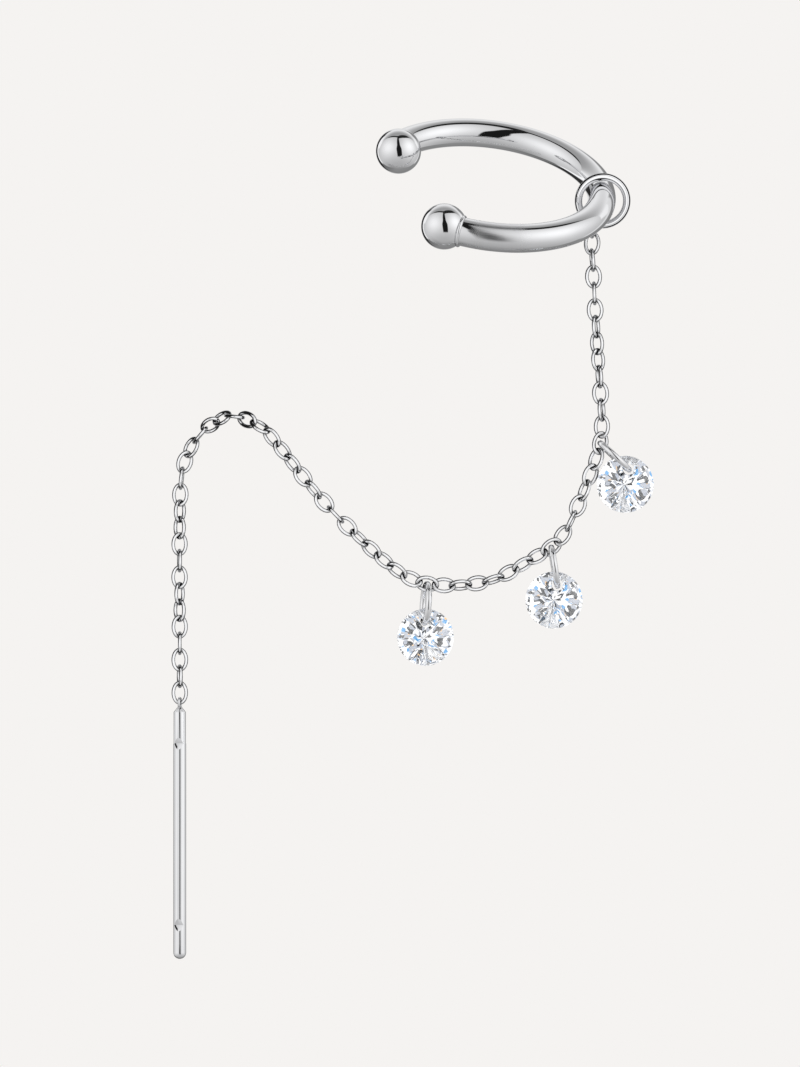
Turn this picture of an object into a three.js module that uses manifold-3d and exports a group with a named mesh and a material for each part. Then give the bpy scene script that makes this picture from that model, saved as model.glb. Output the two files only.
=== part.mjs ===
// Ear cuff with a threader chain. An open wire hoop with a ball at each end grips the rim of the ear. A jump
// ring on the hoop carries a fine cable chain, three drilled brilliant-cut stones hang from it on rings of
// their own, and it ends in a straight threader bar. Lengths are millimetres and angles are degrees.
// +Z is up, -Y is the front, and the origin is the centre of the hoop's hollow, where the rim of the ear goes.
import * as THREE from 'three';
import { ConvexGeometry } from 'three/addons/geometries/ConvexGeometry.js';
import { mergeVertices } from 'three/addons/utils/BufferGeometryUtils.js';
import Module from 'manifold-3d';

const wasm = await Module();
wasm.setup();

// Hoop of the cuff: an arc of round wire with a ball at each end
const HOOP_RADIUS = 5.9;
const HOOP_WIRE = 1.5;
const HOOP_TILT = 30.5;
const HOOP_ROLL = 8.4;
const HOOP_NEAR_END = -110.8;
const HOOP_FAR_END = 155.7;
const BALL_DIAMETER = 2.4;
const FAR_BALL_INSET = 0.33;

// Jump ring that hangs on the hoop and carries the chain
const CUFF_RING_DIAMETER = 2.95;
const CUFF_RING_WIRE = 0.4;
const CUFF_RING_AT = 4.5;
const CUFF_RING_TILT = 12;
const CUFF_RING_LEAN = 14;

// Cable chain of oval links
const LINK_LENGTH = 1.26;
const LINK_WIDTH = 0.9;
const FIRST_LINK_WIDTH = 1.06;
const FIRST_LINK_SEAT = 0.07;
const LINK_WIRE = 0.2;
const LINK_COUNT = 64;
const LINK_BITE = 0.02;

// Brilliant-cut stones, each on a jump ring that passes through one link and the stone's drilled hole
const STONE_DIAMETER = 3.0;
const STONE_TABLE_SHARE = 0.57;
const STONE_GIRDLE = 0.09;
const CROWN_ANGLE = 34.5;
const PAVILION_ANGLE = 40.75;
const HOLE_FROM_CENTRE = 0.82;
const HOLE_PLAY = 0.14;
const STONE_RING_DIAMETER = 2.39;
const STONE_RING_WIRE = 0.32;
const STONE_RING_SEAT = 0.06;
const HANGERS = [
  { link: 13, roll: 162, ringLean: 47, stoneLean: -11, turn: 0 },
  { link: 20, roll: 342, ringLean: 9, stoneLean: -12, turn: 0 },
  { link: 28, roll: 342, ringLean: -4, stoneLean: 3, turn: 8 },
];

// Threader bar: a round rod with a pointed top, a small eye for the last link and two crimps
const BAR_LENGTH = 13.5;
const BAR_DIAMETER = 0.68;
const BAR_TOP_DIAMETER = 0.65;
const BAR_TOP_LENGTH = 2;
const BAR_POINT_LENGTH = 0.33;
const BAR_POINT_DIAMETER = 0.16;
const CRIMP_FROM_TOP = 2;
const CRIMP_FROM_END = 1.82;
const CRIMP_LENGTH = 0.72;
const CRIMP_TOOL_WIDTH = 1.6;
const CRIMP_DEPTH = 0.15;
const EYE_WIRE = 0.15;

// Clearance between pieces that hang on each other
const GAP = 0.035;

// Route of the chain, measured from where its first link hangs. roll turns a link about the chain: at 0 its
// oval faces the front and at 90 it is edge-on, for the links of even and of odd number.
const ROUTE = [
  // x, y, z, even roll, odd roll
  [0.0, 0.0, 0.0, 90, 20],
  [-0.26, 0.0, -1.18, 82, 15],
  [-0.17, 0.0, -2.84, 86, 0],
  [-0.09, 0.0, -4.58, 95, 5],
  [0.04, 0.0, -6.84, 130, 45],
  [0.2, 0.0, -9.09, 178, 92],
  [0.29, 0.0, -10.82, 200, 125],
  [0.24, 0.0, -11.71, 208, 162],
  [0.02, 0.0, -12.57, 215, 158],
  [-0.47, 0.0, -13.86, 228, 150],
  [-0.99, 0.0, -15.16, 255, 175],
  [-1.79, 0.0, -16.76, 310, 205],
  [-2.42, 0.0, -17.39, 342, 212],
  [-3.15, 0.0, -17.78, 328, 215],
  [-4.26, 0.0, -18.45, 308, 212],
  [-5.39, 0.0, -19.03, 295, 205],
  [-7.21, 0.0, -19.33, 305, 203],
  [-8.99, 0.0, -19.26, 342, 205],
  [-9.84, 0.0, -19.0, 322, 208],
  [-11.18, 0.0, -18.05, 310, 220],
  [-12.52, 0.0, -16.83, 340, 240],
  [-13.81, 0.0, -15.56, 358, 270],
  [-14.98, 0.0, -14.24, 372, 300],
  [-16.32, 0.0, -12.54, 394, 315],
  [-17.66, 0.2, -10.96, 412, 325],
  [-18.45, 0.6, -10.58, 430, 345],
  [-19.1, 1.1, -10.38, 445, 370],
  [-19.68, 1.6, -10.39, 480, 400],
  [-20.41, 2.1, -10.77, 510, 430],
  [-21.0, 2.6, -11.36, 545, 450],
  [-21.64, 3.0, -12.21, 585, 505],
  [-21.97, 3.1, -13.21, 628, 535],
  [-22.07, 3.1, -14.22, 640, 545],
  [-22.12, 3.1, -16.98, 700, 600],
  [-22.12, 3.1, -19.63, 740, 655],
  [-22.11, 3.1, -22.34, 808, 720],
  [-22.11, 3.1, -25.68, 790, 732],
];

// Fineness of the round shapes
const HOOP_SIDES = 16;
const HOOP_STEPS = 36;
const BALL_SIDES = 18;
const BALL_BANDS = 12;
const RING_SIDES = 8;
const CUFF_RING_STEPS = 24;
const STONE_RING_STEPS = 18;
const LINK_SIDES = 5;
const LINK_STEPS = 12;
const GIRDLE_SIDES = 16;
const HOLE_SIDES = 12;
const BAR_SIDES = 16;
const EYE_SIDES = 6;
const ROUTE_STEP = 0.002;

const steel = { color: 0xc8c9cc, roughness: 0.12, metalness: 1.0 };
const stoneWhite = { color: 0xf2f6fb, roughness: 0.03, metalness: 0.0 };

const rad = THREE.MathUtils.degToRad;
const X_AXIS = new THREE.Vector3(1, 0, 0);
const Y_AXIS = new THREE.Vector3(0, 1, 0);
const Z_AXIS = new THREE.Vector3(0, 0, 1);

// Corner radius of the regular polygon that has the same area as a round section
function cornerRadius(radius, sides) {
  const turn = (2 * Math.PI) / sides;
  return radius * Math.sqrt(turn / Math.sin(turn));
}

// A closed mesh as a solid that can be joined and cut
function toSolid(geometry) {
  const bare = geometry.clone();
  bare.deleteAttribute('normal');
  bare.deleteAttribute('uv');
  const merged = mergeVertices(bare, 1e-5);
  return new wasm.Manifold(new wasm.Mesh({
    numProp: 3,
    vertProperties: new Float32Array(merged.attributes.position.array),
    triVerts: new Uint32Array(merged.index.array),
  }));
}

function toGeometry(solid) {
  const mesh = solid.getMesh();
  const geometry = new THREE.BufferGeometry();
  geometry.setAttribute('position', new THREE.BufferAttribute(mesh.vertProperties, 3));
  geometry.setIndex(new THREE.BufferAttribute(mesh.triVerts, 1));
  geometry.computeVertexNormals();
  return geometry;
}

function makeMesh(name, geometry, look) {
  const mesh = new THREE.Mesh(geometry, new THREE.MeshStandardMaterial(look));
  mesh.name = name;
  return mesh;
}

// Regular polygon as the section of a round wire
function wireSection(radius, sides) {
  const corner = cornerRadius(radius, sides);
  const shape = new THREE.Shape();
  for (let i = 0; i < sides; i++) {
    const angle = (2 * Math.PI * i) / sides;
    const draw = i === 0 ? shape.moveTo : shape.lineTo;
    draw.call(shape, corner * Math.cos(angle), corner * Math.sin(angle));
  }
  return shape;
}

// Jump ring in the XY plane, centred on the origin
function ringGeometry(centreRadius, wireRadius, sides, steps) {
  return new THREE.TorusGeometry(centreRadius, cornerRadius(wireRadius, sides), sides, steps);
}

// Axes of the hoop's plane: u points to the ring's side and v to the back
const hoopTurn = new THREE.Matrix4()
  .makeRotationY(rad(HOOP_ROLL))
  .multiply(new THREE.Matrix4().makeRotationX(rad(HOOP_TILT)));
const hoopU = X_AXIS.clone().transformDirection(hoopTurn);
const hoopV = Y_AXIS.clone().transformDirection(hoopTurn);

function onHoop(angle, radius = HOOP_RADIUS) {
  return new THREE.Vector3()
    .addScaledVector(hoopU, radius * Math.cos(rad(angle)))
    .addScaledVector(hoopV, radius * Math.sin(rad(angle)));
}

class HoopArc extends THREE.Curve {
  getPoint(t, target = new THREE.Vector3()) {
    return target.copy(onHoop(THREE.MathUtils.lerp(HOOP_NEAR_END, HOOP_FAR_END, t)));
  }
}

function ballSolid(centre) {
  const ball = new THREE.SphereGeometry(BALL_DIAMETER / 2, BALL_SIDES, BALL_BANDS);
  return toSolid(ball.translate(centre.x, centre.y, centre.z));
}

// The hoop's wire and both balls are one piece
function makeCuff() {
  const wire = new THREE.ExtrudeGeometry(wireSection(HOOP_WIRE / 2, HOOP_SIDES), {
    steps: HOOP_STEPS,
    bevelEnabled: false,
    extrudePath: new HoopArc(),
  });
  const solid = toSolid(wire)
    .add(ballSolid(onHoop(HOOP_NEAR_END)))
    .add(ballSolid(onHoop(HOOP_FAR_END, HOOP_RADIUS - FAR_BALL_INSET)));
  return makeMesh('cuff', toGeometry(solid), steel);
}

// The ring nearly faces the front. It hangs on the hoop's wire, which crosses its plane at a slant, and the
// chain hangs from it straight below that place, so it leans a little.
const cuffRingRadius = (CUFF_RING_DIAMETER - CUFF_RING_WIRE) / 2;
const cuffRingCorner = cornerRadius(CUFF_RING_WIRE / 2, RING_SIDES);

function inCuffRing(angle) {
  return new THREE.Vector3(Math.sin(rad(angle)), 0, -Math.cos(rad(angle))).applyAxisAngle(X_AXIS, rad(CUFF_RING_TILT));
}

function cuffRingCentre() {
  const away = inCuffRing(CUFF_RING_LEAN);
  const normal = Y_AXIS.clone().applyAxisAngle(X_AXIS, rad(CUFF_RING_TILT));
  const wire = onHoop(CUFF_RING_AT + 90).normalize();
  const slant = Math.hypot(1, wire.dot(away) / wire.dot(normal));
  const contact = cornerRadius(HOOP_WIRE / 2, HOOP_SIDES) + cuffRingCorner + GAP;
  return onHoop(CUFF_RING_AT).addScaledVector(away, cuffRingRadius - contact * slant);
}

function makeCuffRing() {
  const ring = ringGeometry(cuffRingRadius, CUFF_RING_WIRE / 2, RING_SIDES, CUFF_RING_STEPS);
  const mesh = makeMesh('cuff_ring', ring, steel);
  mesh.rotation.x = Math.PI / 2 + rad(CUFF_RING_TILT);
  mesh.position.copy(cuffRingCentre());
  return mesh;
}

// Centreline of a link: an ellipse in the XY plane with its long axis along X
class LinkOval extends THREE.Curve {
  constructor(width) {
    super();
    this.width = width;
  }

  getPoint(t, target = new THREE.Vector3()) {
    const angle = 2 * Math.PI * t;
    const x = ((LINK_LENGTH - LINK_WIRE) / 2) * Math.cos(angle);
    const y = ((this.width - LINK_WIRE) / 2) * Math.sin(angle);
    return target.set(x, y, 0);
  }
}

function linkSolid(link, width) {
  const corner = cornerRadius(LINK_WIRE / 2, LINK_SIDES);
  const oval = new THREE.TubeGeometry(new LinkOval(width), LINK_STEPS, corner, LINK_SIDES, true);
  return toSolid(oval.applyMatrix4(link.frame));
}

// Past its last point the route goes on straight down
const routePoints = ROUTE.map(([x, y, z]) => new THREE.Vector3(x, y, z));
const routeCurve = new THREE.CatmullRomCurve3(routePoints);
const lastRow = ROUTE.length - 1;

function routePoint(row) {
  const point = routeCurve.getPoint(Math.min(row / lastRow, 1));
  point.z -= Math.max(row - lastRow, 0);
  return point;
}

function linkRoll(row, link) {
  const hanger = HANGERS.find((entry) => entry.link === link);
  if (hanger) return hanger.roll;
  const column = link % 2 === 0 ? 3 : 4;
  const before = Math.min(Math.floor(row), lastRow - 1);
  return THREE.MathUtils.lerp(ROUTE[before][column], ROUTE[before + 1][column], Math.min(row - before, 1));
}

// Places where links hold each other, one pitch apart along the route. Each link spans two of them.
function layLinks() {
  const hang = cuffRingCorner + FIRST_LINK_SEAT - LINK_BITE / 2;
  const start = cuffRingCentre()
    .addScaledVector(inCuffRing(-CUFF_RING_LEAN), cuffRingRadius)
    .addScaledVector(Z_AXIS, hang);
  const pitch = LINK_LENGTH - 2 * LINK_WIRE + LINK_BITE;
  const links = [];
  let row = 0;
  let from = routePoint(0);
  for (let link = 0; link < LINK_COUNT; link++) {
    const firstRow = row;
    while (routePoint(row).distanceTo(from) < pitch) row += ROUTE_STEP;
    const to = from.clone().addScaledVector(routePoint(row).sub(from).normalize(), pitch);
    const along = to.clone().sub(from).normalize();
    const across = new THREE.Vector3().crossVectors(Y_AXIS, along).normalize();
    across.applyAxisAngle(along, rad(linkRoll((firstRow + row) / 2, link)));
    const centre = from.clone().add(to).multiplyScalar(0.5).add(start);
    const frame = new THREE.Matrix4()
      .makeBasis(along, across, new THREE.Vector3().crossVectors(along, across))
      .setPosition(centre);
    links.push({ centre, along, across, frame });
    from = to;
  }
  return links;
}

function joined(solids) {
  return solids.reduce((whole, solid) => whole.add(solid));
}

// Interlocked links, fused where each one bears on the next. Two faceted wires that cross can close in a
// speck of air between their faces, a body of negative volume, and such specks are filled.
function makeChain(links) {
  const chain = joined(links.map((link, i) => linkSolid(link, i === 0 ? FIRST_LINK_WIDTH : LINK_WIDTH)));
  const bodies = chain.decompose().filter((body) => body.volume() > 0);
  return makeMesh('chain', toGeometry(joined(bodies)), steel);
}

// Round brilliant with its table towards -Y and its girdle's middle in the XZ plane
function brilliantGeometry() {
  const radius = STONE_DIAMETER / 2;
  const crown = Math.tan(rad(CROWN_ANGLE));
  const pavilion = Math.tan(rad(PAVILION_ANGLE));
  const girdle = STONE_GIRDLE / 2;
  const halfStep = Math.PI / 8;
  const starRadius = radius * 0.763;
  const lowerHalfRadius = radius * 0.24;
  const points = [];
  const put = (r, angle, depth) => points.push(
    new THREE.Vector3(r * Math.cos(angle), depth, r * Math.sin(angle)),
  );
  for (let i = 0; i < 8; i++) {
    const main = i * 2 * halfStep;
    const between = main + halfStep;
    put(radius * STONE_TABLE_SHARE, main, -girdle - radius * (1 - STONE_TABLE_SHARE) * crown);
    put(starRadius, between, -girdle - (radius - starRadius * Math.cos(halfStep)) * crown);
    put(lowerHalfRadius, between, girdle + (radius - lowerHalfRadius * Math.cos(halfStep)) * pavilion);
  }
  for (let i = 0; i < GIRDLE_SIDES; i++) {
    const angle = (2 * Math.PI * i) / GIRDLE_SIDES;
    put(radius, angle, -girdle);
    put(radius, angle, girdle);
  }
  put(0, 0, girdle + radius * pavilion);
  return new ConvexGeometry(points);
}

// The stone's origin is the middle of its drilled hole, with the stone below it
function stoneGeometry() {
  const holeRadius = STONE_RING_WIRE / 2 + HOLE_PLAY;
  const hole = new THREE.CylinderGeometry(holeRadius, holeRadius, 2 * STONE_DIAMETER, HOLE_SIDES);
  const brilliant = brilliantGeometry().translate(0, 0, -HOLE_FROM_CENTRE);
  return toGeometry(toSolid(brilliant).subtract(toSolid(hole)));
}

// Middle of the hole between the crown's and the pavilion's face
function holeMiddle() {
  const rise = Math.tan(rad(PAVILION_ANGLE)) - Math.tan(rad(CROWN_ANGLE));
  return ((STONE_DIAMETER / 2 - HOLE_FROM_CENTRE) * rise) / 2;
}

// One ring and stone, hung from the middle of a link
function makeHanger(link, hanger, number) {
  const ringRadius = (STONE_RING_DIAMETER - STONE_RING_WIRE) / 2;
  const ring = ringGeometry(ringRadius, STONE_RING_WIRE / 2, RING_SIDES, STONE_RING_STEPS);
  ring.rotateY(Math.PI / 2).translate(0, 0, -ringRadius);
  const lean = new THREE.Group();
  lean.rotation.y = -rad(hanger.ringLean);
  lean.add(makeMesh(`stone_ring_${number}`, ring, steel));

  const stone = makeMesh(`stone_${number}`, stoneGeometry(), stoneWhite);
  stone.position.set(0, -holeMiddle(), STONE_RING_SEAT - 2 * ringRadius);
  stone.rotation.y = rad(hanger.ringLean - hanger.stoneLean);
  lean.add(stone);

  const group = new THREE.Group();
  group.position.copy(link.centre);
  group.rotation.z = rad(hanger.turn);
  group.add(lean);
  return group;
}

// Dent pressed into the bar's front or back. The tool is a diamond wider than the bar, so the dent ends where
// the round surface turns away from it.
function crimpSolid(z, side) {
  const dent = new THREE.OctahedronGeometry(1);
  dent.scale(CRIMP_DEPTH, CRIMP_TOOL_WIDTH / 2, CRIMP_LENGTH / 2);
  return toSolid(dent.translate((side * BAR_DIAMETER) / 2, 0, z));
}

// The bar hangs by its eye from the last link
function makeBar(lastLink) {
  const radius = BAR_DIAMETER / 2;
  const topRadius = BAR_TOP_DIAMETER / 2;
  const step = radius - topRadius;
  const profile = new THREE.Path();
  profile.moveTo(0, -BAR_LENGTH);
  profile.absarc(0, radius - BAR_LENGTH, radius, -Math.PI / 2, 0, false);
  profile.lineTo(radius, -BAR_TOP_LENGTH - step);
  profile.lineTo(topRadius, -BAR_TOP_LENGTH);
  profile.lineTo(topRadius, -BAR_POINT_LENGTH);
  profile.lineTo(BAR_POINT_DIAMETER / 2, 0);
  profile.lineTo(0, 0);
  const rod = new THREE.LatheGeometry(profile.getPoints(2), BAR_SIDES).rotateX(Math.PI / 2);

  const eyeCorner = cornerRadius(EYE_WIRE / 2, EYE_SIDES);
  const linkCorner = cornerRadius(LINK_WIRE / 2, LINK_SIDES);
  const eyeRadius = linkCorner + GAP + eyeCorner;
  const eye = ringGeometry(eyeRadius, EYE_WIRE / 2, EYE_SIDES, LINK_STEPS).rotateX(Math.PI / 2);
  eye.translate(0, 0, eyeRadius - EYE_WIRE / 2);

  let solid = toSolid(rod).add(toSolid(eye));
  for (const z of [-CRIMP_FROM_TOP, CRIMP_FROM_END - BAR_LENGTH]) {
    for (const side of [-1, 1]) {
      solid = solid.subtract(crimpSolid(z, side));
    }
  }
  const bar = makeMesh('threader_bar', toGeometry(solid), steel);
  const hold = lastLink.centre.clone().addScaledVector(lastLink.along, (LINK_LENGTH - LINK_WIRE) / 2);
  bar.position.copy(hold).addScaledVector(Z_AXIS, EYE_WIRE / 2 - eyeRadius);
  bar.rotation.z = Math.atan2(lastLink.across.y, lastLink.across.x) + Math.PI / 2;
  return bar;
}

const links = layLinks();
const earCuff = new THREE.Group();
earCuff.name = 'ear_cuff';
earCuff.add(makeCuff(), makeCuffRing(), makeChain(links));
HANGERS.forEach((hanger, i) => earCuff.add(makeHanger(links[hanger.link], hanger, i + 1)));
earCuff.add(makeBar(links[LINK_COUNT - 1]));

export default earCuff;
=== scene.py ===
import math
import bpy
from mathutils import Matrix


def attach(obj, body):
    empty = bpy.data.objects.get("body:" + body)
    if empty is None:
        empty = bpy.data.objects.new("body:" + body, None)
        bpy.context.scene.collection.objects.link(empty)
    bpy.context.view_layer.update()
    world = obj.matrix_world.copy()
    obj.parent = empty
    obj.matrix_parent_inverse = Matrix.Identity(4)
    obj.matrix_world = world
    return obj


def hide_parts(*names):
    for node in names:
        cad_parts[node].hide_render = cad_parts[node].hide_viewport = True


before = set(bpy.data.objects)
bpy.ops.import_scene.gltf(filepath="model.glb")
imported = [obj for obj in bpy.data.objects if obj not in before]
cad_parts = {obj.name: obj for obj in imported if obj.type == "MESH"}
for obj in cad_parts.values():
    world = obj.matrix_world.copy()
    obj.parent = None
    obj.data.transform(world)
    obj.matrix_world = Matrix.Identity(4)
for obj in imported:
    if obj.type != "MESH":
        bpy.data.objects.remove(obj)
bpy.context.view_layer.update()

# Ear cuff with a threader chain, dressed for its looks. Lengths are millimetres and angles are degrees until
# to_piece turns a finished mesh into metres. +Z is up, -Y is the front and the origin is the hoop's centre.
from types import SimpleNamespace

import bmesh
import bpy
from mathutils import Matrix, Vector

MM = 0.001
BODY = "root"

# Hoop of the cuff: an arc of round wire with a ball at each end
HOOP_RADIUS = 5.9
HOOP_WIRE = 1.5
HOOP_TILT = 30.5
HOOP_ROLL = 8.4
HOOP_NEAR_END = -110.8
HOOP_FAR_END = 155.7
BALL_DIAMETER = 2.4
FAR_BALL_INSET = 0.33
LIP_WIRE = 0.2

# Jump ring that hangs on the hoop and carries the chain
CUFF_RING_DIAMETER = 2.95
CUFF_RING_WIRE = 0.4
CUFF_RING_AT = 4.5
CUFF_RING_TILT = 12
CUFF_RING_LEAN = 14

# Cable chain of oval links. A link is as long as its neighbours let it be, so that their wires touch.
LINK_PITCH = 0.88
LINK_WIRE = 0.2
LINK_LENGTH = LINK_PITCH + 2 * LINK_WIRE
LINK_WIDTH = 0.9
FIRST_LINK_WIDTH = 1.06
FIRST_LINK_SEAT = 0.07
LINK_BITE = 0.02
LINK_COUNT = 64

# Brilliant-cut stones, each on a jump ring that passes through one link and the stone's drilled hole
STONE_DIAMETER = 3.0
MAIN_FACETS = 8
STONE_TABLE_SHARE = 0.57
STONE_GIRDLE = 0.09
CROWN_ANGLE = 34.5
PAVILION_ANGLE = 40.75
STAR_SHARE = 0.763
LOWER_HALF_SHARE = 0.24
HOLE_FROM_CENTRE = 0.82
HOLE_PLAY = 0.14
STONE_RING_DIAMETER = 2.39
STONE_RING_WIRE = 0.32
STONE_RING_SEAT = 0.06
HANGERS = [
    {"link": 13, "roll": 162, "ring_lean": 47, "stone_lean": -11, "turn": 0},
    {"link": 20, "roll": 342, "ring_lean": 9, "stone_lean": -12, "turn": 0},
    {"link": 28, "roll": 342, "ring_lean": -4, "stone_lean": 3, "turn": 8},
]

# Threader bar: a round rod with a pointed top, a small eye for the last link and two crimps
BAR_LENGTH = 13.5
BAR_DIAMETER = 0.68
BAR_TOP_DIAMETER = 0.65
BAR_TOP_LENGTH = 2
BAR_POINT_LENGTH = 0.33
BAR_POINT_DIAMETER = 0.16
BAR_SOFTENING = 0.03
CRIMP_FROM_TOP = 2
CRIMP_FROM_END = 1.82
CRIMP_LENGTH = 0.72
CRIMP_TOOL_WIDTH = 1.6
CRIMP_DEPTH = 0.15
EYE_WIRE = 0.15

# Seats. The pieces hang where those of the plain model do. Its wires have flat sides, and the gap lies
# between the corners of two wires that hang on each other.
SEAT_GAP = 0.035
FACETED_HOOP_SIDES = 16
FACETED_RING_SIDES = 8
FACETED_LINK_SIDES = 5
FACETED_LINK_LENGTH = 1.26
FACETED_EYE_SIDES = 6

# Route of the chain, measured from where its first link hangs. roll turns a link about the chain: at 0 its
# oval faces the front and at 90 it is edge-on, for the links of even and of odd number.
ROUTE = [
    # x, y, z, even roll, odd roll
    (0.0, 0.0, 0.0, 90, 20),
    (-0.26, 0.0, -1.18, 82, 15),
    (-0.17, 0.0, -2.84, 86, 0),
    (-0.09, 0.0, -4.58, 95, 5),
    (0.04, 0.0, -6.84, 130, 45),
    (0.2, 0.0, -9.09, 178, 92),
    (0.29, 0.0, -10.82, 200, 125),
    (0.24, 0.0, -11.71, 208, 162),
    (0.02, 0.0, -12.57, 215, 158),
    (-0.47, 0.0, -13.86, 228, 150),
    (-0.99, 0.0, -15.16, 255, 175),
    (-1.79, 0.0, -16.76, 310, 205),
    (-2.42, 0.0, -17.39, 342, 212),
    (-3.15, 0.0, -17.78, 328, 215),
    (-4.26, 0.0, -18.45, 308, 212),
    (-5.39, 0.0, -19.03, 295, 205),
    (-7.21, 0.0, -19.33, 305, 203),
    (-8.99, 0.0, -19.26, 342, 205),
    (-9.84, 0.0, -19.0, 322, 208),
    (-11.18, 0.0, -18.05, 310, 220),
    (-12.52, 0.0, -16.83, 340, 240),
    (-13.81, 0.0, -15.56, 358, 270),
    (-14.98, 0.0, -14.24, 372, 300),
    (-16.32, 0.0, -12.54, 394, 315),
    (-17.66, 0.2, -10.96, 412, 325),
    (-18.45, 0.6, -10.58, 430, 345),
    (-19.1, 1.1, -10.38, 445, 370),
    (-19.68, 1.6, -10.39, 480, 400),
    (-20.41, 2.1, -10.77, 510, 430),
    (-21.0, 2.6, -11.36, 545, 450),
    (-21.64, 3.0, -12.21, 585, 505),
    (-21.97, 3.1, -13.21, 628, 535),
    (-22.07, 3.1, -14.22, 640, 545),
    (-22.12, 3.1, -16.98, 700, 600),
    (-22.12, 3.1, -19.63, 740, 655),
    (-22.11, 3.1, -22.34, 808, 720),
    (-22.11, 3.1, -25.68, 790, 732),
]
EVEN_ROLL_COLUMN = 3
ODD_ROLL_COLUMN = 4

# Share of a row by which the search for a link's far end moves on
ROUTE_STEP = 0.002

# Fineness of the round shapes
HOOP_SIDES = 64
HOOP_STEPS = 220
BALL_SIDES = 96
BALL_BANDS = 64
RING_SIDES = 32
RING_STEPS = 96
LINK_SIDES = 14
LINK_STEPS = 40
GIRDLE_STEPS = 96
HOLE_SIDES = 48
BAR_SIDES = 64
EYE_STEPS = 48
EYE_SIDES = 20
END_STEPS = 12
FLOOR_SIDES = 96
SHARP_ANGLE = 28
CUT_TOLERANCE = 1e-6

X_AXIS = Vector((1, 0, 0))
Y_AXIS = Vector((0, 1, 0))
Z_AXIS = Vector((0, 0, 1))


def sin(angle):
    return math.sin(math.radians(angle))


def cos(angle):
    return math.cos(math.radians(angle))


def tan(angle):
    return math.tan(math.radians(angle))


def turned(axis, angle):
    return Matrix.Rotation(math.radians(angle), 4, axis)


def corner_radius(radius, sides):
    """Corner radius of the regular polygon that has the same area as a round section."""
    turn = 2 * math.pi / sides
    return radius * math.sqrt(turn / math.sin(turn))


# Meshes

def add_tube(bm, stations, side, radius, sides, closed):
    """Round wire along stations of (centre, outward), in a plane whose normal is side."""
    loops = []
    for centre, outward in stations:
        loop = []
        for i in range(sides):
            angle = 360 * i / sides
            loop.append(bm.verts.new(centre + (outward * cos(angle) + side * sin(angle)) * radius))
        loops.append(loop)
    pairs = list(zip(loops, loops[1:]))
    if closed:
        pairs.append((loops[-1], loops[0]))
    else:
        bm.faces.new(loops[0])
        bm.faces.new(reversed(loops[-1]))
    for a, b in pairs:
        for j in range(sides):
            k = (j + 1) % sides
            bm.faces.new((a[j], b[j], b[k], a[k]))


def add_cylinder(bm, place, radius, depth, sides):
    """Cylinder about the Z axis of place, centred on its origin."""
    bmesh.ops.create_cone(
        bm, cap_ends=True, segments=sides, radius1=radius, radius2=radius, depth=depth, matrix=place)


def add_ring(bm, place, radius, wire_radius, sides, steps):
    """Jump ring in the XY plane of place, centred on its origin."""
    turn = place.to_3x3()
    stations = []
    for i in range(steps):
        outward = turn @ Vector((cos(360 * i / steps), sin(360 * i / steps), 0))
        stations.append((place.translation + outward * radius, outward))
    add_tube(bm, stations, turn @ Z_AXIS, wire_radius, sides, True)


def add_lathe(bm, profile, sides):
    """Solid turned about Z from (radius, z) points, the first and the last on the axis."""
    rings = []
    for radius, z in profile[1:-1]:
        ring = []
        for i in range(sides):
            angle = 360 * i / sides
            ring.append(bm.verts.new((radius * cos(angle), radius * sin(angle), z)))
        rings.append(ring)
    ends = [bm.verts.new((0, 0, profile[0][1])), bm.verts.new((0, 0, profile[-1][1]))]
    for j in range(sides):
        k = (j + 1) % sides
        bm.faces.new((ends[0], rings[0][k], rings[0][j]))
        bm.faces.new((ends[1], rings[-1][j], rings[-1][k]))
        for low, high in zip(rings, rings[1:]):
            bm.faces.new((low[j], low[k], high[k], high[j]))


def to_object(bm, name, smooth=True):
    bmesh.ops.recalc_face_normals(bm, faces=bm.faces[:])
    for face in bm.faces:
        face.smooth = smooth
    mesh = bpy.data.meshes.new(name)
    bm.to_mesh(mesh)
    bm.free()
    obj = bpy.data.objects.new(name, mesh)
    bpy.context.scene.collection.objects.link(obj)
    return obj


def combine(obj, other, operation):
    """Joins other to obj, or cuts it out of obj, and deletes other."""
    step = obj.modifiers.new(operation, "BOOLEAN")
    step.object = other
    step.operation = operation
    step.solver = "EXACT"
    bpy.context.view_layer.update()
    result = bpy.data.meshes.new_from_object(obj.evaluated_get(bpy.context.evaluated_depsgraph_get()))
    obj.modifiers.clear()
    obj.data = result
    bpy.data.objects.remove(other)


def to_piece(obj, node, material, place=Matrix()):
    """Puts a mesh in its place, in metres, and lets it stand for its node."""
    obj.data.transform(Matrix.Scale(MM, 4) @ place)
    obj.data.set_sharp_from_angle(angle=math.radians(SHARP_ANGLE))
    obj.data.materials.clear()
    obj.data.materials.append(material)
    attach(obj, BODY)
    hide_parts(node)
    return obj


# Shading. The scales of the patterns are in cells for each metre. A pair of values is where a smooth change
# starts and where it ends.
PLAIN_GREYS = ((0.82, 0.82, 0.83), (0.76, 0.765, 0.78))
BRIGHT_GREYS = ((0.86, 0.86, 0.87), (0.78, 0.785, 0.8))
FILM_SCALE = 700
SMUDGE_SCALE = 1500
SMUDGE_RISES = (0.45, 0.75)
MARK_SCALE = 9000
MARK_STRETCH = (1, 1, 0.25)
MARK_HEIGHT = 0.002
WAVE_SCALE = 1100
WAVE_HEIGHT = 0.02
# Painted shade in the tight gaps between parts: its colour, the samples that look for near metal, and the
# openness over which the painted shade clears
PAINTED_SHADE_COLOUR = (0.03, 0.03, 0.032, 1)
PAINTED_SHADE_SAMPLES = 8
PAINTED_SHADE_CLEARS = (0.4, 0.9)
SATIN_FROM = -1.05
SATIN_TO = 1.8
SATIN_SOFT = 0.8
NEAR_ARM_FROM = -2
NEAR_ARM_TO = -3
STONE_COLOUR = (0.985, 0.99, 1.0, 1)
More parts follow.
